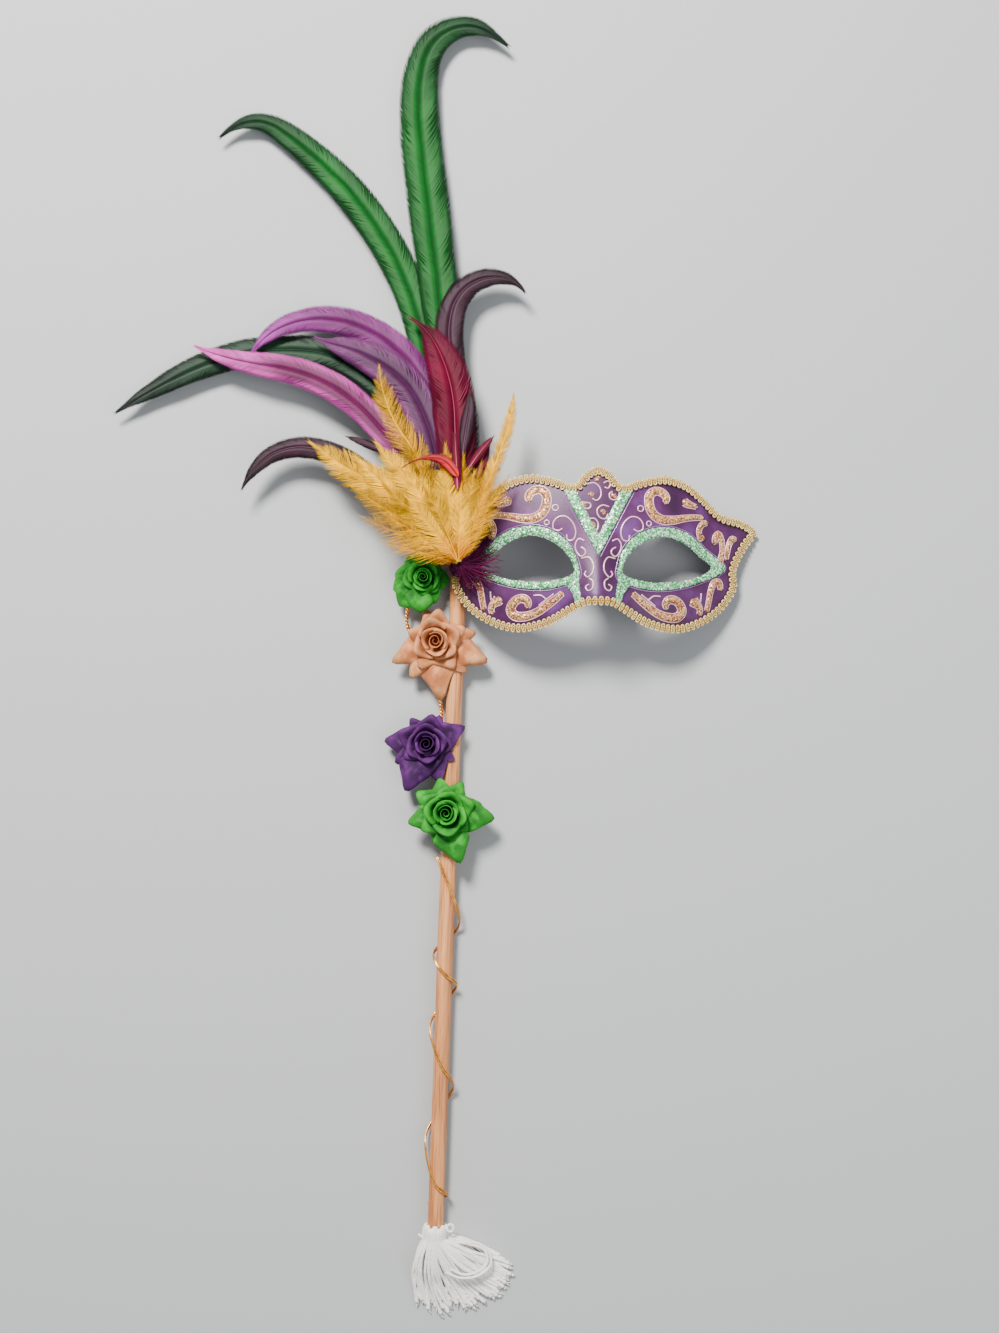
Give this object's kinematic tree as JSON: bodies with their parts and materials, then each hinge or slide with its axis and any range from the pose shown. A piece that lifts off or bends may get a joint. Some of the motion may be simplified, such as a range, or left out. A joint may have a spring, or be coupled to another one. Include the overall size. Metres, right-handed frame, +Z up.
{
  "type": "masquerade mask",
  "caption": "Masquerade half mask on a wooden handle, with raised scrollwork, glitter bands, gimp braid, dyed feathers, paper roses, gold wire and a cord tassel",
  "frame": {"origin": "on the surface the mask lies on, below the handle's lower end, on the tassel's flat underside", "axes": "+Y up the handle towards the feathers, +X across from the handle towards the mask's free wing, +Z up out of the mask's face"},
  "size_m": [0.3835, 0.7774, 0.0515],
  "materials": {
    "pearl_plastic": "satin pearl purple, a little darker towards the edges",
    "scroll_gold": "gold glitter over purple on the raised scrolls",
    "green_glitter": "pale green glitter with darker flecks",
    "gold_braid": "pale gold gimp braid with looped edges",
    "bare_wood": "bare smooth dowel with a fine straight grain",
    "gold_wire": "bright gold wire",
    "green_paper": "dyed green paper",
    "copper_paper": "pale copper paper with a metallic bloom",
    "purple_paper": "dyed dark purple paper",
    "green_feather": "dyed green feather with dark iridescent tips",
    "plum_feather": "dark plum feather",
    "violet_feather": "violet feather with a pale edge",
    "pink_feather": "pink feather with a dark middle band",
    "mauve_feather": "dusky mauve feather",
    "burgundy_feather": "burgundy feather",
    "yellow_feather": "bright yellow feather with loose barbs",
    "white_cord": "off-white twisted cord"
  },
  "bodies": {
    "root": {"mask_shell": "pearl_plastic", "eye_rim_left": "green_glitter", "eye_rim_right": "green_glitter", "vee_band": "green_glitter", "edge_braid": "gold_braid", "handle_stick": "bare_wood", "wire_wrap": "gold_wire", "stem_wire_upper": "gold_wire", "stem_wire_middle": "gold_wire", "rose_green_top": "green_paper", "rose_copper": "copper_paper", "rose_purple": "purple_paper", "rose_green_low": "green_paper", "plume_knot": "plum_feather", "feather_green_far": "green_feather", "feather_green_left": "green_feather", "feather_green_tall": "green_feather", "feather_plum_left": "plum_feather", "feather_plum_right": "plum_feather", "feather_violet": "violet_feather", "feather_pink": "pink_feather", "feather_mauve": "mauve_feather", "feather_plum_middle": "plum_feather", "feather_burgundy": "burgundy_feather", "feather_burgundy_short": "burgundy_feather", "feather_yellow_low": "yellow_feather", "feather_yellow_left": "yellow_feather", "feather_yellow_right": "yellow_feather", "feather_yellow_top": "yellow_feather", "plume_yellow_body": "yellow_feather", "tassel": "white_cord"}
  },
  "joints": []
}
